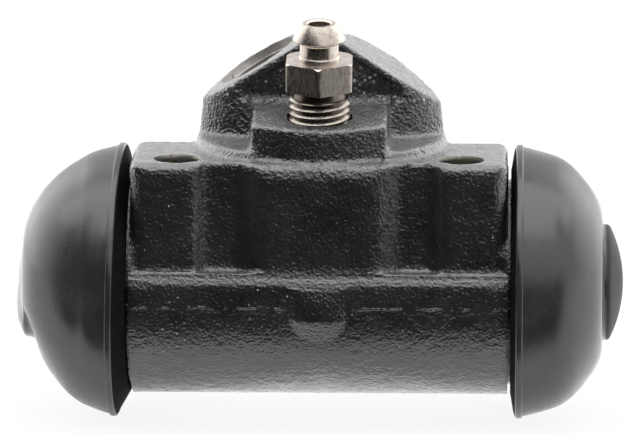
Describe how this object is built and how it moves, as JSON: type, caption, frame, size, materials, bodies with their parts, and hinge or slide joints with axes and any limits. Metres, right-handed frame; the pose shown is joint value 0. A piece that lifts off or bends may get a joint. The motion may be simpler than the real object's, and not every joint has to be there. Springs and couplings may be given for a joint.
{
  "type": "wheel cylinder",
  "caption": "Drum brake wheel cylinder: cast barrel with bolted flange, gabled port head, leaning bleeder screw, and spring-loaded pistons behind domed rubber boots.",
  "frame": {"origin": "middle of the two bolt holes, on the mounting face", "axes": "+X along the bore, +Z out of the mounting face, -Y toward the bleeder side, which is the front in the picture"},
  "size_m": [0.0922, 0.0429, 0.0626],
  "materials": {
    "casting": "gloss black paint over sand-cast iron, bare metal at the inlet port",
    "plated_steel": "yellowish zinc plate",
    "boot_rubber": "satin moulded",
    "piston_metal": "turned",
    "seal_rubber": "satin",
    "spring_steel": "bright"
  },
  "bodies": {
    "housing": {"cylinder_body": "casting", "left_boot": "boot_rubber", "right_boot": "boot_rubber", "return_spring": "spring_steel"},
    "left_piston_body": {"left_piston": "piston_metal", "left_cup": "seal_rubber", "left_expander": "spring_steel"},
    "right_piston_body": {"right_piston": "piston_metal", "right_cup": "seal_rubber", "right_expander": "spring_steel"},
    "bleeder": {"bleeder_screw": "plated_steel"}
  },
  "joints": [
    {"name": "left_piston_slide", "type": "slide", "parent": "housing", "child": "left_piston_body", "axis": [-1, 0, 0], "range_m": [-0.006, 0], "stiffness_N_per_m": 800, "springref_m": 0.015, "deforming": ["return_spring"]},
    {"name": "right_piston_slide", "type": "slide", "parent": "housing", "child": "right_piston_body", "axis": [1, 0, 0], "range_m": [-0.006, 0], "stiffness_N_per_m": 800, "springref_m": 0.015, "deforming": ["return_spring"]},
    {"name": "bleeder_turn", "type": "hinge", "parent": "housing", "child": "bleeder", "pos_m": [0, 0.0031, 0.00592], "axis": [0, -0.1305, 0.9914], "range_deg": [0, 270]}
  ]
}
